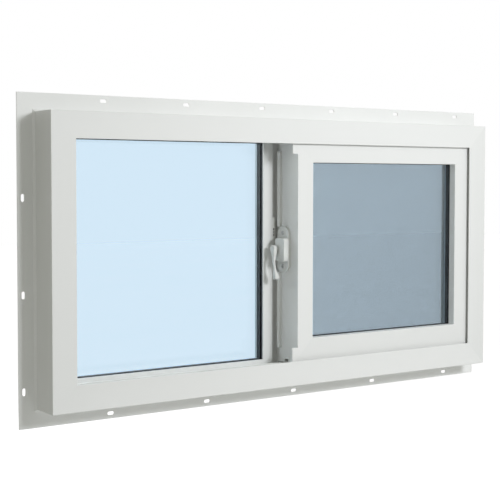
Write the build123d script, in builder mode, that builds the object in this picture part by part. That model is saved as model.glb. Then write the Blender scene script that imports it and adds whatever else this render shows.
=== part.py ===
from build123d import *
import os

os.makedirs("parts", exist_ok=True)

# Sliding basement window with a nail fin. Millimetres, +Z up.
# The room is towards -Y and the outdoors towards +Y. +X is the side where the closed sash stands.
# The origin lies on the nail fin's wall-bearing face, at mid-width and half-way up the bottom fin.

# Frame: one C-shaped extrusion on all four sides, mitred at the corners
frame_width = 800.1
frame_height = 400.05
frame_depth = 82.55
face_width = 36.5
lip_thickness = 1.6
web_thickness = 19.5
outer_leg_width = 34.0
screen_leg_width = 21.0
edge_rounding = 0.8

# Nail fin
fin_setback = 50.8
fin_width = 25.4
fin_thickness = 1.6
fin_root_rib = 3.0
fin_root_chamfer = 2.6
slot_length = 10.5
slot_width = 5.0
slot_line = 17.8
top_slot_count = 6
top_slot_pitch = 135.0
top_slot_shift = 41.0
bottom_slot_count = 5
bottom_slot_pitch = 161.0
bottom_slot_shift = 35.0
side_slot_count = 3
side_slot_pitch = 130.0
side_slot_shift = -45.0

# Clearances
run_clearance = 5.0
seat_clearance = 0.3
glass_edge_clearance = 3.0
pin_clearance = 0.08

# Insulating glass, the same in both lites
pane_thickness = 3.2
pane_gap = 6.35
spacer_show = 0.8
setting_block_length = 60.0

# Fixed lite
bead_width = 14.5
bead_thickness = 2.0
inner_gasket_depth = 2.9
outer_gasket_depth = 1.3
fixed_glass_bite = 10.0

# Meeting stile between the lites
strip_width = 17.4
stile_groove_depth = 5.5
stile_groove_width = 9.1
stile_width = 45.3

# Sash
sash_width = 376.9
sash_profile = 39.0
sash_depth = 47.5
sash_lift = 10.8
sash_head_room = 5.75
sash_reveal = 12.3
sash_rebate = 20.5
sash_bead_width = 19.5
sash_bead_depth = 3.5
bead_chamfer = 1.5
milled_width = 10.0
lip_end_depth = 3.0
lip_end_length = 26.0
interlock_width = 4.0
interlock_depth = 6.0
interlock_end_gap = 22.0

# Running gear
rail_width = 4.0
groove_width = 9.0
sill_groove_depth = 5.0
sill_rail_entry = 1.2
head_groove_depth = 8.0
head_rail_entry = 4.0
glide_length = 45.0
glide_inset = 40.0
track_depth = 28.0

# Brush strips
brush_width = 5.0
brush_inset = 1.5

# Lock
lock_height = 3.4
lock_setback = 33.0
lock_base_length = 70.0
lock_base_width = 28.0
lock_base_thickness = 4.0
lock_base_corner = 12.0
housing_length = 36.0
housing_width = 24.0
housing_rise = 8.1
housing_taper = 4
housing_corner = 4.0
housing_offset = 2.3
boss_radius = 3.5
boss_rise = 2.5
pivot_offset = 4.8
pivot_height = 1.7
pin_radius = 2.4
hub_radius = 5.2
hub_thickness = 6.0
hub_drop = 6.5
waist_thickness = 2.8
waist_front = 5.0
waist_back = 0.3
waist_drop = 18.0
tip_thickness = 7.5
tip_front = 9.5
tip_back = 2.5
tip_drop = 42.5
lever_reach = 47.0
lever_corner = 1.0
lever_rounding = 0.8
keeper_length = 46.0
keeper_height = 26.0
keeper_slot = 2.6
keeper_slot_count = 3
keeper_slot_pitch = 4.5
keeper_slot_depth = 3.0

# Insect screen
screen_bar_width = 11.0
screen_bar_depth = 8.0
screen_setback = 63.0
screen_pocket_depth = 11.0
screen_spring_room = 4.6
screen_stile_bite = 4.5
mesh_thickness = 0.4
mesh_bite = 5.0
tab_width = 5.0
tab_length = 12.0
tab_thickness = 2.0
tab_count = 2
tab_pitch = 180.0

# Places worked out from the sizes above. Depths are measured from the frame's room face.
centre_z = fin_width / 2 + frame_height / 2
left_edge = -frame_width / 2
bottom_edge = centre_z - frame_height / 2
top_edge = centre_z + frame_height / 2
track_left = left_edge + web_thickness
track_right = -track_left
track_bottom = bottom_edge + web_thickness
track_top = top_edge - web_thickness

sash_front = lip_thickness + run_clearance
sash_back = sash_front + sash_depth
sash_right = track_right - run_clearance
sash_left = sash_right - sash_width
sash_bottom = track_bottom + sash_lift
sash_top = track_top - sash_head_room
sash_height = sash_top - sash_bottom
sash_centre = ((sash_left + sash_right) / 2, (sash_bottom + sash_top) / 2)
side_face = sash_left + milled_width

glass_unit = 2 * pane_thickness + pane_gap
bead_front = sash_back + run_clearance
gasket_front = bead_front + bead_thickness
fixed_glass_front = gasket_front + inner_gasket_depth
fixed_glass_back = fixed_glass_front + glass_unit
outer_leg_front = fixed_glass_back + outer_gasket_depth
sash_glass_front = sash_front + sash_reveal
sash_glass_back = sash_glass_front + glass_unit

strip_right = side_face - stile_groove_width
strip_left = strip_right - strip_width
stile_right = strip_left + stile_width
groove_floor = bead_front + stile_groove_depth
fixed_centre = ((track_left + strip_left + bead_width) / 2, centre_z)
fixed_lite_width = strip_left + bead_width - track_left
fixed_lite_height = track_top - track_bottom
fixed_glass_inset = bead_width - fixed_glass_bite

screen_left = stile_right - screen_stile_bite
screen_right = track_right + screen_pocket_depth - screen_spring_room
screen_bottom = track_bottom + seat_clearance
screen_top = track_top - seat_clearance
screen_width = screen_right - screen_left
screen_height = screen_top - screen_bottom
screen_centre = ((screen_left + screen_right) / 2, (screen_bottom + screen_top) / 2)
screen_back = screen_setback + screen_bar_depth
mesh_front = screen_setback + (screen_bar_depth - mesh_thickness) / 2
mesh_back = mesh_front + mesh_thickness

track_centre = sash_front + track_depth
lock_centre = (sash_front + lock_setback, centre_z + lock_height)
housing_centre = (lock_centre[0] - housing_offset, lock_centre[1])
pivot = (lock_centre[0] + pivot_offset, lock_centre[1] + pivot_height)
housing_face = side_face - lock_base_thickness - housing_rise
boss_face = housing_face - boss_rise
lever_face = boss_face - seat_clearance - hub_thickness


def elevation(depth, centre=(0, centre_z)):
    """Upright plane facing the room, at a depth behind the frame's room face."""
    return Plane(origin=(centre[0], depth - fin_setback, centre[1]), x_dir=(1, 0, 0), z_dir=(0, -1, 0))


def side_view(x, centre):
    """Upright plane facing -X, with its local x towards the room, centred on a (depth, height)."""
    return Plane(origin=(x, centre[0] - fin_setback, centre[1]), x_dir=(0, -1, 0), z_dir=(-1, 0, 0))


def plan(z):
    """Level plane at a height, with its local y measured as depth behind the frame's room face."""
    return Plane(origin=(0, -fin_setback, z), x_dir=(1, 0, 0), z_dir=(0, 0, 1))


def keep(part, name):
    """Label a finished piece and write its file."""
    part.label = name
    export_step(part, f"parts/{name}.step")


def mitre_outline(side, width, height):
    """Corners of the quarter of a rectangle that a mitred member takes."""
    half_width = width / 2
    half_height = height / 2
    reach = half_width - half_height
    outlines = {
        "top": [(-half_width, half_height), (half_width, half_height), (reach, 0), (-reach, 0)],
        "bottom": [(-half_width, -half_height), (half_width, -half_height), (reach, 0), (-reach, 0)],
        "left": [(-half_width, -half_height), (-half_width, half_height), (-reach, 0)],
        "right": [(half_width, -half_height), (half_width, half_height), (reach, 0)],
    }
    return outlines[side]


def ring(layers, width, height, centre, rounded=False):
    """Rectangular ring built up in layers of (start depth, end depth, outer inset, inner inset)."""
    with BuildPart() as whole:
        for start, end, outer_inset, inner_inset in layers:
            with BuildSketch(elevation(end, centre)):
                Rectangle(width - 2 * outer_inset, height - 2 * outer_inset)
                Rectangle(width - 2 * inner_inset, height - 2 * inner_inset, mode=Mode.SUBTRACT)
            extrude(amount=end - start)
        if rounded:
            front = whole.faces().sort_by(Axis.Y)[0]
            fillet(front.edges(), edge_rounding)
    return whole.part


def mitred(whole, side, width, height, centre):
    """The member of a ring on one side, cut at 45 degrees at both ends."""
    box = whole.bounding_box()
    with BuildPart() as member:
        add(whole)
        with BuildSketch(Plane(origin=(centre[0], box.max.Y, centre[1]), x_dir=(1, 0, 0), z_dir=(0, -1, 0))):
            Polygon(*mitre_outline(side, width, height), align=None)
        extrude(amount=box.max.Y - box.min.Y, mode=Mode.INTERSECT)
    return member.part


def bar(left, right, start, end, bottom, top):
    """Plain rectangular bar between two places along each direction."""
    centre = ((left + right) / 2, (bottom + top) / 2)
    with BuildPart() as piece:
        with BuildSketch(elevation(end, centre)):
            Rectangle(right - left, top - bottom)
        extrude(amount=end - start)
    return piece.part


def pieces_in_one(parts):
    """Like pieces that don't touch, kept together in one node."""
    with BuildPart() as group:
        for part in parts:
            add(part)
    return group.part


# Frame members
frame_layers = [
    (0, lip_thickness, 0, face_width),
    (lip_thickness, outer_leg_front, 0, web_thickness),
    (outer_leg_front, frame_depth, 0, outer_leg_width),
]
frame_ring = ring(frame_layers, frame_width, frame_height, (0, centre_z), rounded=True)
frame_names = {
    "top": "frame_head",
    "bottom": "frame_sill",
    "left": "frame_left_jamb",
    "right": "frame_right_jamb",
}
for side, name in frame_names.items():
    member = mitred(frame_ring, side, frame_width, frame_height, (0, centre_z))
    if side == "right":
        pocket = bar(
            track_right,
            track_right + screen_pocket_depth,
            screen_setback - seat_clearance,
            screen_back + seat_clearance,
            track_bottom,
            track_top,
        )
        leg_relief = bar(
            frame_width / 2 - outer_leg_width,
            frame_width / 2 - screen_leg_width,
            outer_leg_front,
            frame_depth,
            bottom_edge + outer_leg_width,
            top_edge - outer_leg_width,
        )
        with BuildPart() as pocketed:
            add(member)
            add(pocket, mode=Mode.SUBTRACT)
            add(leg_relief, mode=Mode.SUBTRACT)
        member = pocketed.part
    keep(member, name)

# Nail fins with their slots
fin_outer_width = frame_width + 2 * fin_width
fin_outer_height = frame_height + 2 * fin_width
fin_layers = [
    (fin_setback - fin_root_rib, fin_setback, fin_width - fin_root_rib, fin_width),
    (fin_setback, fin_setback + fin_thickness, 0, fin_width),
]
with BuildPart() as fin_ring:
    add(ring(fin_layers, fin_outer_width, fin_outer_height, (0, centre_z)))
    root_face = fin_ring.faces().sort_by(Axis.Y)[0]
    chamfer(root_face.outer_wire().edges(), fin_root_chamfer)
row_height = frame_height / 2 + slot_line
row_reach = frame_width / 2 + slot_line
slot_rows = {
    "top": ((top_slot_shift, row_height), top_slot_pitch, top_slot_count),
    "bottom": ((bottom_slot_shift, -row_height), bottom_slot_pitch, bottom_slot_count),
    "left": ((-row_reach, side_slot_shift), side_slot_pitch, side_slot_count),
    "right": ((row_reach, side_slot_shift), side_slot_pitch, side_slot_count),
}
for side, (row_centre, pitch, count) in slot_rows.items():
    level = side in ("top", "bottom")
    with BuildPart() as fin:
        add(mitred(fin_ring.part, side, fin_outer_width, fin_outer_height, (0, centre_z)))
        with BuildSketch(elevation(fin_setback + fin_thickness)):
            with Locations(row_centre):
                with GridLocations(pitch, pitch, count if level else 1, 1 if level else count):
                    SlotOverall(slot_length, slot_width, rotation=0 if level else 90)
        extrude(amount=fin_thickness, mode=Mode.SUBTRACT)
    keep(fin.part, f"nail_fin_{side}")

# Rails of the sash's track
sill_rail_top = sash_bottom + sill_rail_entry
head_rail_bottom = sash_top - head_rail_entry
rail_front = track_centre - rail_width / 2
rail_back = track_centre + rail_width / 2
keep(bar(track_left, track_right, rail_front, rail_back, track_bottom, sill_rail_top), "sill_track_rail")
keep(bar(track_left, track_right, rail_front, rail_back, head_rail_bottom, track_top), "head_guide_rail")

# Brush strips between the frame's lips and the face of the sash
brush_back = sash_front - seat_clearance
brush_near = face_width - brush_inset - brush_width
brush_far = face_width - brush_inset
brush_end = left_edge + brush_far
brush_strips = [
    bar(brush_end, -brush_end, lip_thickness, brush_back, top_edge - brush_far, top_edge - brush_near),
    bar(brush_end, -brush_end, lip_thickness, brush_back, bottom_edge + brush_near, bottom_edge + brush_far),
    bar(
        -left_edge - brush_far,
        -left_edge - brush_near,
        lip_thickness,
        brush_back,
        bottom_edge + brush_far + seat_clearance,
        top_edge - brush_far - seat_clearance,
    ),
]
keep(pieces_in_one(brush_strips), "frame_brush_strips")

# Fixed lite: beads, gaskets, panes and spacer
sight_left = track_left + bead_width
sight_bottom = track_bottom + bead_width
sight_top = track_top - bead_width
keep(bar(track_left, sight_left, bead_front, gasket_front, track_bottom, track_top), "fixed_bead_left")
keep(bar(strip_left, strip_right, bead_front, gasket_front, track_bottom, track_top), "fixed_bead_right")
keep(bar(sight_left, strip_left, bead_front, gasket_front, sight_top, track_top), "fixed_bead_top")
keep(bar(sight_left, strip_left, bead_front, gasket_front, track_bottom, sight_bottom), "fixed_bead_bottom")

inner_gasket = [(gasket_front, fixed_glass_front, fixed_glass_inset, bead_width)]
keep(ring(inner_gasket, fixed_lite_width, fixed_lite_height, fixed_centre), "fixed_inner_gasket")
outer_gasket = [(fixed_glass_back, outer_leg_front, fixed_glass_inset, bead_width)]
keep(ring(outer_gasket, fixed_lite_width, fixed_lite_height, fixed_centre), "fixed_outer_gasket")


def glass_lite(prefix, front, width, height, centre, inset, sight):
    """Two panes and the spacer between them, set back from the edge of the rebate."""
    left = centre[0] - width / 2 + inset
    right = centre[0] + width / 2 - inset
    bottom = centre[1] - height / 2 + inset
    top = centre[1] + height / 2 - inset
    inner_back = front + pane_thickness
    outer_front = inner_back + pane_gap
    keep(bar(left, right, front, inner_back, bottom, top), f"{prefix}_inner_pane")
    keep(bar(left, right, outer_front, outer_front + pane_thickness, bottom, top), f"{prefix}_outer_pane")
    spacer = [(inner_back, outer_front, inset, sight + spacer_show)]
    keep(ring(spacer, width, height, centre), f"{prefix}_spacer")


def setting_blocks(name, centre_x, front, bottom, top, pitch):
    """Two blocks that carry a glass unit on its rebate."""
    half_length = setting_block_length / 2
    blocks = []
    for place in (centre_x - pitch / 2, centre_x + pitch / 2):
        blocks.append(bar(place - half_length, place + half_length, front, front + glass_unit, bottom, top))
    keep(pieces_in_one(blocks), name)


glass_lite(
    "fixed",
    fixed_glass_front,
    fixed_lite_width,
    fixed_lite_height,
    fixed_centre,
    fixed_glass_inset,
    bead_width,
)
setting_blocks(
    "fixed_setting_blocks",
    fixed_centre[0],
    fixed_glass_front,
    track_bottom,
    track_bottom + fixed_glass_inset,
    fixed_lite_width / 2,
)

# Fixed meeting stile: rebate for the glass on the left, groove and brush leg towards the room,
# groove for the screen on the right
glass_stop = strip_left + fixed_glass_bite
leg_left = side_face + interlock_width
screen_groove_front = screen_setback - seat_clearance
screen_groove_back = screen_back + seat_clearance
stile_outline = [
    (glass_stop, gasket_front),
    (strip_right, gasket_front),
    (strip_right, groove_floor),
    (leg_left, groove_floor),
    (leg_left, bead_front),
    (stile_right, bead_front),
    (stile_right, screen_groove_front),
    (screen_left - seat_clearance, screen_groove_front),
    (screen_left - seat_clearance, screen_groove_back),
    (stile_right, screen_groove_back),
    (stile_right, outer_leg_front),
    (glass_stop, outer_leg_front),
]
with BuildPart() as meeting_stile:
    with BuildSketch(plan(track_bottom)):
        Polygon(*stile_outline, align=None)
    extrude(amount=fixed_lite_height)
    add(
        bar(
            strip_left,
            stile_right,
            outer_leg_front,
            frame_depth,
            bottom_edge + outer_leg_width,
            top_edge - outer_leg_width,
        )
    )
keep(meeting_stile.part, "meeting_stile")
keep(
    bar(
        leg_left,
        leg_left + brush_width,
        sash_back + seat_clearance,
        bead_front,
        sash_bottom,
        sash_top,
    ),
    "meeting_stile_brush",
)

# Sash members. The outer edge of the lock stile is milled away behind a short front lip at each end.
sash_layers = [
    (sash_front, sash_glass_front, 0, sash_profile),
    (sash_glass_front, sash_back, 0, sash_profile - sash_rebate),
]
with BuildPart() as sash_ring:
    add(ring(sash_layers, sash_width, sash_height, sash_centre, rounded=True))
    add(
        bar(sash_left, side_face, sash_front + lip_end_depth, sash_back, sash_bottom, sash_top),
        mode=Mode.SUBTRACT,
    )
    add(
        bar(
            sash_left,
            side_face,
            sash_front,
            sash_front + lip_end_depth,
            sash_bottom + lip_end_length,
            sash_top - lip_end_length,
        ),
        mode=Mode.SUBTRACT,
    )
    groove_front = track_centre - groove_width / 2
    groove_back = track_centre + groove_width / 2
    add(
        bar(side_face, sash_right, groove_front, groove_back, sash_bottom, sash_bottom + sill_groove_depth),
        mode=Mode.SUBTRACT,
    )
    add(
        bar(side_face, sash_right, groove_front, groove_back, sash_top - head_groove_depth, sash_top),
        mode=Mode.SUBTRACT,
    )
sash_names = {
    "top": "sash_top_rail",
    "bottom": "sash_bottom_rail",
    "left": "sash_lock_stile",
    "right": "sash_back_stile",
}
for side, name in sash_names.items():
    keep(mitred(sash_ring.part, side, sash_width, sash_height, sash_centre), name)

# Interlock strip on the outdoor edge of the lock stile, above and below the lock
lock_bottom = lock_centre[1] - lock_base_length / 2
lock_top = lock_centre[1] + lock_base_length / 2
interlock_spans = [
    (sash_bottom + interlock_end_gap, lock_bottom),
    (lock_top, sash_top - interlock_end_gap),
]
interlock_strips = []
for start, end in interlock_spans:
    interlock_strips.append(
        bar(side_face - interlock_width, side_face, sash_back - interlock_depth, sash_back, start, end)
    )
keep(pieces_in_one(interlock_strips), "sash_interlock")

# Sash glass and the beads that hold it from outdoors
sash_glass_inset = sash_profile - sash_rebate + glass_edge_clearance
glass_lite("sash", sash_glass_front, sash_width, sash_height, sash_centre, sash_glass_inset, sash_profile)
setting_blocks(
    "sash_setting_blocks",
    sash_centre[0],
    sash_glass_front,
    sash_bottom + sash_profile - sash_rebate,
    sash_bottom + sash_glass_inset,
    sash_width / 2,
)
bead_outer = sash_profile - sash_rebate
bead_inner = bead_outer + sash_bead_width
sash_bead_layer = [(sash_glass_back, sash_glass_back + sash_bead_depth, bead_outer, bead_inner)]
with BuildPart() as sash_bead_ring:
    add(ring(sash_bead_layer, sash_width, sash_height, sash_centre))
    outdoor_face = sash_bead_ring.faces().sort_by(Axis.Y)[-1]
    chamfer(outdoor_face.inner_wires()[0].edges(), bead_chamfer)
for side in sash_names:
    keep(mitred(sash_bead_ring.part, side, sash_width, sash_height, sash_centre), f"sash_bead_{side}")

# Glides that carry the sash on the sill's rail
glide_bottom = sill_rail_top + seat_clearance
glide_top = sash_bottom + sill_groove_depth
glides = []
for start in (side_face + glide_inset, sash_right - glide_inset - glide_length):
    glides.append(bar(start, start + glide_length, groove_front, groove_back, glide_bottom, glide_top))
keep(pieces_in_one(glides), "sash_glides")

# Lock: base plate, housing with its boss and pivot pin, lever, and the keeper in the meeting stile's groove
with BuildPart() as lock_base:
    with BuildSketch(side_view(side_face, lock_centre)):
        RectangleRounded(lock_base_width, lock_base_length, lock_base_corner)
    extrude(amount=lock_base_thickness)
    fillet(lock_base.faces().sort_by(Axis.X)[0].edges(), edge_rounding)
keep(lock_base.part, "lock_base")

with BuildPart() as lock_housing:
    with BuildSketch(side_view(side_face - lock_base_thickness, housing_centre)):
        RectangleRounded(housing_width, housing_length, housing_corner)
    extrude(amount=housing_rise, taper=housing_taper)
    fillet(lock_housing.faces().sort_by(Axis.X)[0].edges(), edge_rounding)
    with BuildSketch(side_view(housing_face, pivot)):
        Circle(boss_radius)
    extrude(amount=boss_rise)
    with BuildSketch(side_view(boss_face, pivot)):
        Circle(pin_radius)
    extrude(amount=seat_clearance + hub_thickness)
keep(lock_housing.part, "lock_housing")

# The lever's side outline, cut to a thickness that narrows at the waist and flares at the tip
tip_end = ((tip_front + tip_back) / 2, -lever_reach)
with BuildPart() as lock_lever:
    with BuildSketch(side_view(lever_face + tip_thickness, pivot)) as lever_outline:
        with BuildLine():
            ThreePointArc((hub_radius, 0), (waist_front, -waist_drop), (tip_front, -tip_drop))
            ThreePointArc((tip_front, -tip_drop), tip_end, (tip_back, -tip_drop))
            ThreePointArc((tip_back, -tip_drop), (waist_back, -waist_drop), (-hub_radius, 0))
            ThreePointArc((-hub_radius, 0), (0, hub_radius), (hub_radius, 0))
        make_face()
        fillet(lever_outline.vertices(), lever_corner)
    extrude(amount=tip_thickness)
    lever_front_view = Plane(
        origin=(lever_face, pivot[0] - fin_setback, pivot[1]), x_dir=(1, 0, 0), z_dir=(0, -1, 0)
    )
    with BuildSketch(lever_front_view):
        with BuildLine():
            Line((0, hub_radius), (hub_thickness, hub_radius))
            Line((hub_thickness, hub_radius), (hub_thickness, -hub_drop))
            ThreePointArc(
                (hub_thickness, -hub_drop),
                (waist_thickness, -waist_drop),
                (tip_thickness, -tip_drop),
            )
            Line((tip_thickness, -tip_drop), (tip_thickness, -lever_reach))
            Line((tip_thickness, -lever_reach), (0, -lever_reach))
            Line((0, -lever_reach), (0, hub_radius))
        make_face()
    extrude(amount=lever_reach, both=True, mode=Mode.INTERSECT)
    fillet(lock_lever.faces().sort_by(Axis.X)[0].edges(), lever_rounding)
    with BuildSketch(side_view(lever_face + tip_thickness, pivot)):
        Circle(pin_radius + pin_clearance)
    extrude(amount=tip_thickness, mode=Mode.SUBTRACT)
keep(lock_lever.part, "lock_lever")

keeper_left = strip_right
keeper_right = side_face - interlock_width
keeper_bottom = lock_centre[1] + keeper_height - keeper_length / 2
keeper_top = keeper_bottom + keeper_length
with BuildPart() as lock_keeper:
    add(bar(keeper_left, keeper_right, bead_front, groove_floor, keeper_bottom, keeper_top))
    keeper_centre = ((keeper_left + keeper_right) / 2, keeper_bottom + keeper_length / 2)
    with BuildSketch(elevation(bead_front, keeper_centre)):
        with GridLocations(0, keeper_slot_pitch, 1, keeper_slot_count):
            Rectangle(keeper_slot, keeper_slot)
    extrude(amount=-keeper_slot_depth, mode=Mode.SUBTRACT)
keep(lock_keeper.part, "lock_keeper")

# Insect screen
screen_layers = [
    (screen_setback, mesh_front, 0, screen_bar_width),
    (mesh_front, mesh_back, 0, screen_bar_width - mesh_bite),
    (mesh_back, screen_back, 0, screen_bar_width),
]
screen_ring = ring(screen_layers, screen_width, screen_height, screen_centre)
for side in sash_names:
    keep(mitred(screen_ring, side, screen_width, screen_height, screen_centre), f"screen_bar_{side}")
mesh_inset = screen_bar_width - mesh_bite
keep(
    bar(
        screen_left + mesh_inset,
        screen_right - mesh_inset,
        mesh_front,
        mesh_back,
        screen_bottom + mesh_inset,
        screen_top - mesh_inset,
    ),
    "screen_mesh",
)
tabs = []
for place in range(tab_count):
    tab_bottom = screen_centre[1] + (place - (tab_count - 1) / 2) * tab_pitch - tab_length / 2
    tab_left = screen_left + screen_bar_width - tab_width
    tabs.append(
        bar(
            tab_left,
            tab_left + tab_width,
            screen_setback - tab_thickness,
            screen_setback,
            tab_bottom,
            tab_bottom + tab_length,
        )
    )
keep(pieces_in_one(tabs), "screen_pull_tabs")
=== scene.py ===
import math
import random

import bmesh
import bpy
from mathutils import Euler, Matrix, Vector

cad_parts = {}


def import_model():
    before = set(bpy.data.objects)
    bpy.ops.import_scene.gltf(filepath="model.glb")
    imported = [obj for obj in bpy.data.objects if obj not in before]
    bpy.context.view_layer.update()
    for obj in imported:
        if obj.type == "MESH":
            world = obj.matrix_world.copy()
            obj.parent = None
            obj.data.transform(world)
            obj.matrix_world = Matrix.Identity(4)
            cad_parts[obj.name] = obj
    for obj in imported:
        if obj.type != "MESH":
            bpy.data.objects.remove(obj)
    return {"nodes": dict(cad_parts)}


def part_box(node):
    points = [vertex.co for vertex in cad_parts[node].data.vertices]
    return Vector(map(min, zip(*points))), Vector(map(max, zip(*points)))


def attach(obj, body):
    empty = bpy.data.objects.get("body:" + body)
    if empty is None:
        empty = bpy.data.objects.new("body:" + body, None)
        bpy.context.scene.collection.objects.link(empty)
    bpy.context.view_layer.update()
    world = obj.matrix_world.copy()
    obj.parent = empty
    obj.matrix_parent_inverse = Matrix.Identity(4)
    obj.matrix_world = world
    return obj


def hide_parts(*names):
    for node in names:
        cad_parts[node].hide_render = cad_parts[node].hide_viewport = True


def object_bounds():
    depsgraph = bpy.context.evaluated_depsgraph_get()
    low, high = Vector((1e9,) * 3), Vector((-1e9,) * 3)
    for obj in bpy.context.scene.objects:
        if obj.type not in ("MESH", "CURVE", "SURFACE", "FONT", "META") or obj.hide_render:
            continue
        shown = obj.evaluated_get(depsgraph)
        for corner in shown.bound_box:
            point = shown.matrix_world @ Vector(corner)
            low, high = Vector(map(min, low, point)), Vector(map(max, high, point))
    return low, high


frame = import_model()

cad_low, cad_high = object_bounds()

# A sliding basement window, dressed for a studio picture. Metres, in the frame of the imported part.
MM = 0.001
X_AXIS = 0
Z_AXIS = 2
nodes = frame["nodes"]
scene = bpy.context.scene

# Camera at the photograph's place: left of the window, a little above its middle, looking right.
# The lens axis meets the picture at AXIS_PIXEL, counted from the top left.
CAMERA_PLACE = (-1.04589, -1.41763, 0.31641)
CAMERA_YAW = 33.88
CAMERA_PITCH = -2.55
FOCAL_PIXELS = 1149.3
AXIS_PIXEL = (225, 235)
PICTURE_PIXELS = 500
SENSOR_WIDTH = 36.0
CLIP_START = 0.05
CLIP_END = 60.0

# Light: a near lamp in front that reaches into the recesses, a weak far one from the right,
# a soft one behind for the outdoor side, and a small one that lights the lock through the fixed glass
NEAR_PLACE = (0.30, -1.42, 0.72)
NEAR_SIZE = 0.34
NEAR_WATTS = 13.3
FAR_PLACE = (1.30, -1.60, 1.75)
FAR_SIZE = 0.9
FAR_WATTS = 3.4
BEHIND_PLACE = (0.10, 2.00, 1.20)
BEHIND_SIZE = 0.80
BEHIND_WATTS = 22.0
LOCK_PLACE = (-0.34, 0.46, 0.45)
LOCK_SIZE = 0.25
LOCK_WATTS = 1.0
LAMP_COLOUR = (0.985, 1.0, 1.03)
LOCK_COLOUR = (1.0, 0.985, 0.91)
AMBIENT = 0.305
AMBIENT_COLOUR = (0.99, 1.0, 0.88, 1.0)
BACKGROUND = (1.0, 1.0, 1.0, 1.0)

# Floor, a pale plane below the window, which hangs on a wall in use. It glows less near the window.
FLOOR_DROP = 0.45
FLOOR_HALF = 12.0
FLOOR_DARK = (0.86, 0.86, 0.86, 1.0)
FLOOR_LIGHT = (0.89, 0.89, 0.89, 1.0)
FLOOR_TONE_SCALE = 1.5
FLOOR_ROUGHNESS = 0.9
FLOOR_GLOW_NEAR = 0.42
FLOOR_GLOW_FAR = 0.735
FLOOR_GLOW_COLOUR = (0.965, 0.952, 0.985, 1.0)
FLOOR_NEAR = 0.7
FLOOR_FAR = 1.5

# Colours, linear
VINYL_DARK = (0.780, 0.787, 0.778, 1.0)
VINYL_LIGHT = (0.815, 0.820, 0.812, 1.0)
# Nail fins: the frame's white vinyl coloured lighter, as painted light for the top fin's brighter look
FIN_LIT_DARK = (0.845, 0.852, 0.843, 1.0)
FIN_LIT_LIGHT = (0.880, 0.885, 0.877, 1.0)
ENAMEL_DARK = (0.70, 0.71, 0.695, 1.0)
ENAMEL_LIGHT = (0.76, 0.77, 0.755, 1.0)
NYLON_DARK = (0.62, 0.62, 0.59, 1.0)
NYLON_LIGHT = (0.70, 0.70, 0.67, 1.0)
RUBBER_DARK = (0.070, 0.074, 0.088, 1.0)
RUBBER_LIGHT = (0.110, 0.115, 0.132, 1.0)
SPACER_DARK = (0.006, 0.007, 0.008, 1.0)
SPACER_LIGHT = (0.016, 0.018, 0.020, 1.0)
PILE_DARK = (0.42, 0.43, 0.415, 1.0)
PILE_LIGHT = (0.62, 0.63, 0.61, 1.0)
KEEPER_DARK = (0.80, 0.81, 0.79, 1.0)
KEEPER_LIGHT = (0.86, 0.87, 0.85, 1.0)
THREAD_DARK = (0.030, 0.036, 0.042, 1.0)
THREAD_LIGHT = (0.060, 0.068, 0.076, 1.0)
STEEL_DARK = (0.46, 0.47, 0.47, 1.0)
STEEL_LIGHT = (0.60, 0.61, 0.61, 1.0)
# Keeper screws: near black, as painted shade for the keeper's deep pockets
POCKET_SHADE_DARK = (0.020, 0.020, 0.020, 1.0)
POCKET_SHADE_LIGHT = (0.050, 0.050, 0.048, 1.0)
GLASS_TINT = (0.805, 0.900, 0.968, 1.0)
GLASS_SHADE = (0.93, 0.935, 0.935, 1.0)

# Surfaces: noise is read over the middle of its range, and the gloss varies more finely than the tone
UNSTRETCHED = (1.0, 1.0, 1.0)
MIDDLE_RANGE = (0.3, 0.7)
TONE_RANGE = (0.35, 0.65)
TONE_DETAIL = 3.0
GLOSS_FINER = 7.0
GLOSS_DETAIL = 2.0
GRAIN_DETAIL = 1.0
GLASS_IOR = 1.33
GLASS_ROUGH = (0.0, 0.02)
GLASS_ROUGH_SCALE = 9.0


def pattern(tree, scale, detail=GLOSS_DETAIL, stretch=UNSTRETCHED):
    """Noise in the part's own coordinates, drawn out along an axis where stretch is small."""
    place = tree.nodes.new("ShaderNodeTexCoord")
    mapping = tree.nodes.new("ShaderNodeMapping")
    mapping.inputs["Scale"].default_value = stretch
    noise = tree.nodes.new("ShaderNodeTexNoise")
    noise.inputs["Scale"].default_value = scale
    noise.inputs["Detail"].default_value = detail
    tree.links.new(place.outputs["Object"], mapping.inputs["Vector"])
    tree.links.new(mapping.outputs["Vector"], noise.inputs["Vector"])
    return noise.outputs["Fac"]


def shades(tree, factor, dark, light):
    """Colour that runs from dark to light as the factor crosses the tone range."""
    ramp = tree.nodes.new("ShaderNodeValToRGB")
    for element, position, colour in zip(ramp.color_ramp.elements, TONE_RANGE, (dark, light)):
        element.position = position
        element.color = colour
    tree.links.new(factor, ramp.inputs["Fac"])
    return ramp.outputs["Color"]


def spread(tree, factor, ends, low, high):
    """The factor's range between two ends mapped to low and high."""
    mapped = tree.nodes.new("ShaderNodeMapRange")
    mapped.inputs["From Min"].default_value = ends[0]
    mapped.inputs["From Max"].default_value = ends[1]
    mapped.inputs["To Min"].default_value = low
    mapped.inputs["To Max"].default_value = high
    tree.links.new(factor, mapped.inputs["Value"])
    return mapped.outputs["Result"]


def relief(tree, shader, height, strength, distance):
    """Fine bump on a shader."""
    bump = tree.nodes.new("ShaderNodeBump")
    bump.inputs["Strength"].default_value = strength
    bump.inputs["Distance"].default_value = distance
    tree.links.new(height, bump.inputs["Height"])
    tree.links.new(bump.outputs["Normal"], shader.inputs["Normal"])


def combined(tree, operation, first, second):
    """Output of a math node with two linked inputs."""
    maths = tree.nodes.new("ShaderNodeMath")
    maths.operation = operation
    tree.links.new(first, maths.inputs[0])
    tree.links.new(second, maths.inputs[1])
    return maths.outputs["Value"]


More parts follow.
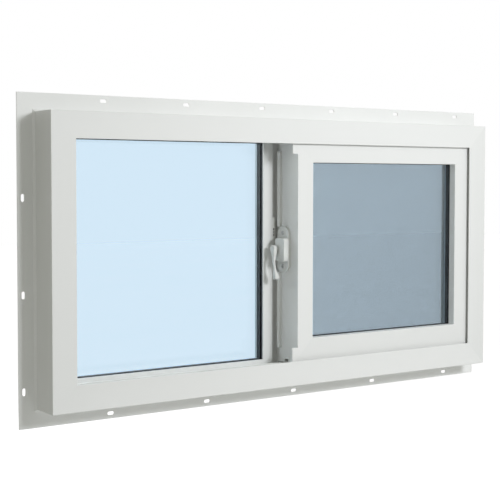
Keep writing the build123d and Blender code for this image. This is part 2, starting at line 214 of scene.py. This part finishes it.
def surface(name, dark, light, tone_scale, rough, grain, stretch=UNSTRETCHED, metallic=0.0, coat=0.0):
    """Material with a mottled tone, an uneven gloss and a fine grain.

    rough is (lowest, highest) roughness, grain is (noise scale, bump strength, bump distance in metres)."""
    material = bpy.data.materials.new(name)
    material.use_nodes = True
    tree = material.node_tree
    shader = tree.nodes["Principled BSDF"]
    shader.inputs["Metallic"].default_value = metallic
    shader.inputs["Coat Weight"].default_value = coat
    tone = shades(tree, pattern(tree, tone_scale, TONE_DETAIL, stretch), dark, light)
    tree.links.new(tone, shader.inputs["Base Color"])
    gloss = pattern(tree, tone_scale * GLOSS_FINER, GLOSS_DETAIL, stretch)
    tree.links.new(spread(tree, gloss, MIDDLE_RANGE, *rough), shader.inputs["Roughness"])
    grain_scale, strength, distance = grain
    relief(tree, shader, pattern(tree, grain_scale, GRAIN_DETAIL, stretch), strength, distance)
    return material


def glass(name):
    """Clear glass with a cool tint, which lets lamp light through to what is behind it."""
    material = bpy.data.materials.new(name)
    material.use_nodes = True
    tree = material.node_tree
    shader = tree.nodes["Principled BSDF"]
    shader.inputs["Base Color"].default_value = GLASS_TINT
    shader.inputs["Transmission Weight"].default_value = 1.0
    shader.inputs["IOR"].default_value = GLASS_IOR
    gloss = spread(tree, pattern(tree, GLASS_ROUGH_SCALE, TONE_DETAIL), MIDDLE_RANGE, *GLASS_ROUGH)
    tree.links.new(gloss, shader.inputs["Roughness"])
    rays = tree.nodes.new("ShaderNodeLightPath")
    passing = tree.nodes.new("ShaderNodeBsdfTransparent")
    passing.inputs["Color"].default_value = GLASS_SHADE
    mix = tree.nodes.new("ShaderNodeMixShader")
    tree.links.new(rays.outputs["Is Shadow Ray"], mix.inputs["Fac"])
    tree.links.new(shader.outputs["BSDF"], mix.inputs[1])
    tree.links.new(passing.outputs["BSDF"], mix.inputs[2])
    tree.links.new(mix.outputs["Shader"], tree.nodes["Material Output"].inputs["Surface"])
    return material


# Extruded members have faint drawn lines along their length
ALONG_X = (0.04, 1.0, 1.0)
ALONG_Z = (1.0, 1.0, 0.04)
VINYL_SCALE = 6.0
VINYL_ROUGH = (0.34, 0.44)
VINYL_GRAIN = (900.0, 0.05, 0.0002)

# Name: dark, light, tone scale, roughness range, grain, and a stretch where there is one
FINISHES = {
    "vinyl_level": (VINYL_DARK, VINYL_LIGHT, VINYL_SCALE, VINYL_ROUGH, VINYL_GRAIN, ALONG_X),
    "vinyl_upright": (VINYL_DARK, VINYL_LIGHT, VINYL_SCALE, VINYL_ROUGH, VINYL_GRAIN, ALONG_Z),
    # Fins lighter than the frame's vinyl: painted light
    "vinyl_fin_painted_light": (FIN_LIT_DARK, FIN_LIT_LIGHT, 5.0, VINYL_ROUGH, VINYL_GRAIN),
    "enamel": (ENAMEL_DARK, ENAMEL_LIGHT, 60.0, (0.26, 0.36), (1400.0, 0.10, 0.0002)),
    "nylon": (NYLON_DARK, NYLON_LIGHT, 30.0, (0.45, 0.6), (1200.0, 0.12, 0.0002)),
    "rubber": (RUBBER_DARK, RUBBER_LIGHT, 25.0, (0.5, 0.68), (1500.0, 0.25, 0.0003)),
    "spacer": (SPACER_DARK, SPACER_LIGHT, 40.0, (0.4, 0.6), (1800.0, 0.2, 0.0002)),
    "pile": (PILE_DARK, PILE_LIGHT, 700.0, (0.8, 0.95), (2600.0, 0.5, 0.0004)),
    "keeper": (KEEPER_DARK, KEEPER_LIGHT, 50.0, (0.4, 0.55), (1200.0, 0.15, 0.0002)),
    "thread": (THREAD_DARK, THREAD_LIGHT, 400.0, (0.45, 0.65), (4000.0, 0.3, 0.0001)),
    # Near-black screws: painted shade for the keeper's pockets
    "pocket_shade_steel": (POCKET_SHADE_DARK, POCKET_SHADE_LIGHT, 300.0, (0.4, 0.6), (3000.0, 0.2, 0.0001)),
    "steel": (STEEL_DARK, STEEL_LIGHT, 300.0, (0.25, 0.4), (3000.0, 0.2, 0.0001)),
}
METALLIC = {"steel": 1.0}
COAT = {"enamel": 0.2}
materials = {
    name: surface(name, *finish, metallic=METALLIC.get(name, 0.0), coat=COAT.get(name, 0.0))
    for name, finish in FINISHES.items()
}
materials["glass"] = glass("glass")

NODE_MATERIALS = {
    "vinyl_level": [
        "frame_head", "frame_sill", "fixed_bead_top", "fixed_bead_bottom",
        "sash_top_rail", "sash_bottom_rail", "sash_bead_top", "sash_bead_bottom",
    ],
    "vinyl_upright": [
        "frame_left_jamb", "frame_right_jamb", "fixed_bead_left", "fixed_bead_right", "meeting_stile",
        "sash_lock_stile", "sash_back_stile", "sash_interlock", "sash_bead_left", "sash_bead_right",
    ],
    # Fins take the lighter vinyl, which is painted light
    "vinyl_fin_painted_light": ["nail_fin_top", "nail_fin_bottom", "nail_fin_left", "nail_fin_right"],
    "enamel": [
        "lock_base", "lock_housing", "lock_lever", "screen_bar_top", "screen_bar_bottom", "screen_bar_left",
        "screen_bar_right",
    ],
    "nylon": ["sill_track_rail", "head_guide_rail", "sash_glides", "screen_pull_tabs"],
    "rubber": ["fixed_inner_gasket", "fixed_outer_gasket", "fixed_setting_blocks", "sash_setting_blocks"],
    "spacer": ["fixed_spacer", "sash_spacer"],
    "pile": ["frame_brush_strips", "meeting_stile_brush"],
    "keeper": ["lock_keeper"],
    "thread": ["screen_mesh"],
    "glass": ["fixed_inner_pane", "fixed_outer_pane", "sash_inner_pane", "sash_outer_pane"],
}
for finish_name, names in NODE_MATERIALS.items():
    for name in names:
        mesh = nodes[name].data
        mesh.materials.clear()
        mesh.materials.append(materials[finish_name])


def as_mesh(form, name):
    """The bmesh's faces as a mesh, with their normals outwards."""
    bmesh.ops.recalc_face_normals(form, faces=form.faces)
    mesh = bpy.data.meshes.new(name)
    form.to_mesh(mesh)
    form.free()
    return mesh


def new_piece(name, form, finish_name, body):
    """Object for a bmesh, with its finish, riding on a body."""
    mesh = as_mesh(form, name)
    piece = bpy.data.objects.new(name, mesh)
    scene.collection.objects.link(piece)
    mesh.materials.append(materials[finish_name])
    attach(piece, body)
    return piece


def add_box(form, low, high):
    """Box between two corners, added to a bmesh."""
    corners = [
        form.verts.new((x, y, z))
        for z in (low[2], high[2])
        for y in (low[1], high[1])
        for x in (low[0], high[0])
    ]
    for a, b, c, d in ((0, 2, 3, 1), (4, 5, 7, 6), (0, 1, 5, 4), (2, 6, 7, 3), (0, 4, 6, 2), (1, 3, 7, 5)):
        form.faces.new((corners[a], corners[b], corners[c], corners[d]))


def spaced(low, high, pitch):
    """Middles of the equal steps, at least a pitch long, that fill the way from low to high."""
    count = int((high - low) / pitch)
    return [low + (i + 0.5) * (high - low) / count for i in range(count)]


# Screen cloth: coated glass-fibre threads, fused where they cross
THREAD_PITCH_X = 1.40 * MM
THREAD_PITCH_Z = 1.55 * MM
THREAD_WIDTH = 0.34 * MM


def screen_cloth():
    """Upright and level threads over the whole of the screen's opening."""
    low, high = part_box("screen_mesh")
    middle = (low.y + high.y) / 2
    half = THREAD_WIDTH / 2
    form = bmesh.new()
    for x in spaced(low.x, high.x, THREAD_PITCH_X):
        add_box(form, (x - half, middle - half, low.z), (x + half, middle + half, high.z))
    for z in spaced(low.z, high.z, THREAD_PITCH_Z):
        add_box(form, (low.x, middle - half, z - half), (high.x, middle + half, z + half))
    cloth = new_piece("screen_cloth_threads", form, "thread", "frame")
    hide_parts("screen_mesh")


screen_cloth()


# Screws with a cross recess, on the lock's base plate and in the keeper's pockets
BASE_SCREW_PITCH = 50.8 * MM
BASE_SCREW_RADIUS = 3.5 * MM
KEEPER_SCREW_PITCH = 4.5 * MM
KEEPER_SCREW_RADIUS = 1.2 * MM
KEEPER_SCREW_SINK = 1.0 * MM
SCREW_STEPS = 32

# A screw head's measures, as parts of its radius; the shoulder's rise is a part of the head's
HEAD_RISE = 0.24
SHOULDER_RADIUS = 0.97
SHOULDER_RISE = 0.45
CROWN_RADIUS = 0.82
MOUTH_ARM = 0.62
MOUTH_HALF = 0.16
PIT_ARM = 0.34
PIT_HALF = 0.09
PIT_DEPTH = 0.55

# Cosine and sine of each quarter turn
QUARTER_TURNS = ((1, 0), (0, 1), (-1, 0), (0, -1))


def circle(radius):
    """Points round a circle."""
    turns = [2.0 * math.pi * i / SCREW_STEPS for i in range(SCREW_STEPS)]
    return [(radius * math.cos(turn), radius * math.sin(turn)) for turn in turns]


def cross(arm, half):
    """Points round a cross, whose arms have a length from the middle and half a width."""
    quarter = [(arm, -half), (arm, half), (half, half)]
    return [
        (u * cosine - v * sine, u * sine + v * cosine)
        for cosine, sine in QUARTER_TURNS
        for u, v in quarter
    ]


def screw_head(form, centre, axis, radius):
    """Low domed head whose cross recess is a pocket with sloping sides."""
    direction = Vector(axis)
    side = Vector((0.0, 0.0, 1.0))
    other = direction.cross(side)

    def ring(points, height):
        return [form.verts.new(Vector(centre) + side * u + other * v + direction * height) for u, v in points]

    def join(lower, upper):
        for i in range(len(lower)):
            j = (i + 1) % len(lower)
            form.faces.new((lower[i], lower[j], upper[j], upper[i]))

    rise = radius * HEAD_RISE
    skirt = ring(circle(radius), 0.0)
    shoulder = ring(circle(radius * SHOULDER_RADIUS), rise * SHOULDER_RISE)
    crown = ring(circle(radius * CROWN_RADIUS), rise)
    mouth = ring(cross(radius * MOUTH_ARM, radius * MOUTH_HALF), rise)
    pit = ring(cross(radius * PIT_ARM, radius * PIT_HALF), rise - radius * PIT_DEPTH)
    join(skirt, shoulder)
    join(shoulder, crown)
    join(mouth, pit)
    form.faces.new(pit)
    form.faces.new(list(reversed(skirt)))
    rims = []
    for loop in (crown, mouth):
        for i in range(len(loop)):
            ends = (loop[i], loop[(i + 1) % len(loop)])
            rims.append(form.edges.get(ends) or form.edges.new(ends))
    bmesh.ops.triangle_fill(form, edges=rims, use_beauty=True)


def lock_screws():
    """Two bright screws through the base plate, above and below the housing."""
    low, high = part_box("lock_base")
    form = bmesh.new()
    for place in (-0.5, 0.5):
        centre = (low.x, (low.y + high.y) / 2, (low.z + high.z) / 2 + place * BASE_SCREW_PITCH)
        screw_head(form, centre, (-1.0, 0.0, 0.0), BASE_SCREW_RADIUS)
    new_piece("lock_base_screws", form, "steel", "sash")


def keeper_screws():
    """Three small screws sunk in the keeper's pockets; their near-black colour is painted shade for the deep
    pockets.
    """
    low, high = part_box("lock_keeper")
    form = bmesh.new()
    for place in (-1, 0, 1):
        height = (low.z + high.z) / 2 + place * KEEPER_SCREW_PITCH
        centre = ((low.x + high.x) / 2, low.y + KEEPER_SCREW_SINK, height)
        screw_head(form, centre, (0.0, -1.0, 0.0), KEEPER_SCREW_RADIUS)
    new_piece("keeper_screws", form, "pocket_shade_steel", "frame")


lock_screws()
keeper_screws()


# Brush strips: a backing with rows of tapered bristles that stop just short of the sash
BRUSH_WIDTH = 5.0 * MM
BRUSH_CORNER_GAP = 0.3 * MM
BACKING_DEPTH = 1.0 * MM
BRISTLE_PITCH = 1.1 * MM
BRISTLE_ROWS = 4
BRISTLE_RADIUS = 0.28 * MM
BRISTLE_TIP_RADIUS = 0.196 * MM
BRISTLE_LEAN = 0.35 * MM
BRISTLE_SHORT = 0.5 * MM
BRISTLE_SIDES = 3
BRISTLE_SEED = 3


def bristle(form, root, tip):
    """Tapered bristle from the backing to its closed tip."""
    loops = []
    for end, radius in ((root, BRISTLE_RADIUS), (tip, BRISTLE_TIP_RADIUS)):
        loop = []
        for i in range(BRISTLE_SIDES):
            turn = 2.0 * math.pi * i / BRISTLE_SIDES
            loop.append(form.verts.new(end + Vector((math.cos(turn), 0.0, math.sin(turn))) * radius))
        loops.append(loop)
    for i in range(BRISTLE_SIDES):
        j = (i + 1) % BRISTLE_SIDES
        form.faces.new((loops[0][i], loops[0][j], loops[1][j], loops[1][i]))
    form.faces.new(loops[1])


def brush(form, low, high, along, chance):
    """One strip between two corners; its bristles point along Y and its rows run along the axis given."""
    add_box(form, low, (high.x, low.y + BACKING_DEPTH, high.z))
    across = X_AXIS if along == Z_AXIS else Z_AXIS
    width = high[across] - low[across]
    for middle in spaced(low[along], high[along], BRISTLE_PITCH):
        for row in range(BRISTLE_ROWS):
            root = Vector((0.0, low.y + BACKING_DEPTH, 0.0))
            root[along] = middle
            root[across] = low[across] + (row + 0.5) * width / BRISTLE_ROWS
            tip = root + Vector((chance.uniform(-1, 1), 0.0, chance.uniform(-1, 1))) * BRISTLE_LEAN
            tip.y = high.y - chance.uniform(0.0, 1.0) * BRISTLE_SHORT
            bristle(form, root, tip)


def frame_brushes(chance):
    """Strips behind the lips of the head, the sill and the right jamb."""
    low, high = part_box("frame_brush_strips")
    inner_x = high.x - BRUSH_WIDTH
    end_gap = BRUSH_WIDTH + BRUSH_CORNER_GAP
    form = bmesh.new()
    head_low = Vector((low.x, low.y, high.z - BRUSH_WIDTH))
    brush(form, head_low, Vector((inner_x, high.y, high.z)), X_AXIS, chance)
    brush(form, low, Vector((inner_x, high.y, low.z + BRUSH_WIDTH)), X_AXIS, chance)
    upright_low = Vector((inner_x, low.y, low.z + end_gap))
    upright_high = Vector((high.x, high.y, high.z - end_gap))
    brush(form, upright_low, upright_high, Z_AXIS, chance)
    piece = new_piece("frame_brush_pile", form, "pile", "frame")
    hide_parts("frame_brush_strips")


def stile_brush(chance):
    """Strip on the meeting stile's leg, built mirrored and turned back: its bristles point to the room."""
    low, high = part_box("meeting_stile_brush")
    form = bmesh.new()
    brush(form, Vector((low.x, -high.y, low.z)), Vector((high.x, -low.y, high.z)), Z_AXIS, chance)
    for vertex in form.verts:
        vertex.co.y = -vertex.co.y
    piece = new_piece("stile_brush_pile", form, "pile", "frame")
    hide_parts("meeting_stile_brush")


chance = random.Random(BRISTLE_SEED)
frame_brushes(chance)
stile_brush(chance)


# Stage
def floor():
    """Pale floor that looks white to the camera and still takes the window's shadow."""
    material = bpy.data.materials.new("floor")
    material.use_nodes = True
    tree = material.node_tree
    shader = tree.nodes["Principled BSDF"]
    shader.inputs["Roughness"].default_value = FLOOR_ROUGHNESS
    tone = shades(tree, pattern(tree, FLOOR_TONE_SCALE), FLOOR_DARK, FLOOR_LIGHT)
    tree.links.new(tone, shader.inputs["Base Color"])
    shader.inputs["Emission Color"].default_value = FLOOR_GLOW_COLOUR
    rays = tree.nodes.new("ShaderNodeLightPath")
    seen = combined(tree, "MAXIMUM", rays.outputs["Is Camera Ray"], rays.outputs["Is Transmission Ray"])
    place = tree.nodes.new("ShaderNodeTexCoord")
    reach = tree.nodes.new("ShaderNodeVectorMath")
    reach.operation = "LENGTH"
    tree.links.new(place.outputs["Object"], reach.inputs[0])
    level = spread(tree, reach.outputs["Value"], (FLOOR_NEAR, FLOOR_FAR), FLOOR_GLOW_NEAR, FLOOR_GLOW_FAR)
    tree.links.new(combined(tree, "MULTIPLY", seen, level), shader.inputs["Emission Strength"])
    form = bmesh.new()
    height = cad_low.z - FLOOR_DROP
    corners = ((-1, -1), (1, -1), (1, 1), (-1, 1))
    form.faces.new([form.verts.new((x * FLOOR_HALF, y * FLOOR_HALF, height)) for x, y in corners])
    ground = bpy.data.objects.new("floor", as_mesh(form, "floor"))
    ground.data.materials.append(material)
    scene.collection.objects.link(ground)


def world():
    """White to the camera, to mirrors and through glass, and a soft level of light on everything else."""
    sky = bpy.data.worlds.new("studio")
    scene.world = sky
    sky.use_nodes = True
    tree = sky.node_tree
    tree.nodes.clear()
    rays = tree.nodes.new("ShaderNodeLightPath")
    seen = combined(tree, "MAXIMUM", rays.outputs["Is Camera Ray"], rays.outputs["Is Glossy Ray"])
    seen = combined(tree, "MAXIMUM", seen, rays.outputs["Is Transmission Ray"])
    shown = tree.nodes.new("ShaderNodeBackground")
    shown.inputs["Color"].default_value = BACKGROUND
    ambient = tree.nodes.new("ShaderNodeBackground")
    ambient.inputs["Color"].default_value = AMBIENT_COLOUR
    ambient.inputs["Strength"].default_value = AMBIENT
    mix = tree.nodes.new("ShaderNodeMixShader")
    output = tree.nodes.new("ShaderNodeOutputWorld")
    tree.links.new(seen, mix.inputs["Fac"])
    tree.links.new(ambient.outputs["Background"], mix.inputs[1])
    tree.links.new(shown.outputs["Background"], mix.inputs[2])
    tree.links.new(mix.outputs["Shader"], output.inputs["Surface"])


def lamp(name, place, size, watts, colour=LAMP_COLOUR, shines=True):
    """Square soft lamp that faces the middle of the window; one that doesn't shine leaves no highlight."""
    light = bpy.data.lights.new(name, "AREA")
    light.shape = "SQUARE"
    light.size = size
    light.energy = watts
    light.color = colour
    holder = bpy.data.objects.new(name, light)
    holder.location = place
    towards = Vector(place) - (cad_low + cad_high) / 2
    holder.rotation_euler = towards.to_track_quat("Z", "Y").to_euler()
    holder.visible_camera = False
    holder.visible_glossy = shines
    holder.visible_transmission = False
    scene.collection.objects.link(holder)


def camera():
    """The photograph's view."""
    view = bpy.data.cameras.new("camera")
    view.sensor_width = SENSOR_WIDTH
    view.lens = FOCAL_PIXELS / PICTURE_PIXELS * SENSOR_WIDTH
    view.shift_x = (PICTURE_PIXELS / 2 - AXIS_PIXEL[0]) / PICTURE_PIXELS
    view.shift_y = (AXIS_PIXEL[1] - PICTURE_PIXELS / 2) / PICTURE_PIXELS
    view.clip_start = CLIP_START
    view.clip_end = CLIP_END
    holder = bpy.data.objects.new("camera", view)
    holder.location = CAMERA_PLACE
    holder.rotation_euler = Euler((math.radians(90.0 + CAMERA_PITCH), 0.0, math.radians(-CAMERA_YAW)))
    scene.collection.objects.link(holder)
    scene.camera = holder


floor()
world()
lamp("near_lamp", NEAR_PLACE, NEAR_SIZE, NEAR_WATTS, shines=False)
lamp("far_lamp", FAR_PLACE, FAR_SIZE, FAR_WATTS)
lamp("behind_lamp", BEHIND_PLACE, BEHIND_SIZE, BEHIND_WATTS)
lamp("lock_lamp", LOCK_PLACE, LOCK_SIZE, LOCK_WATTS, LOCK_COLOUR)
camera()
scene.view_settings.view_transform = "Standard"
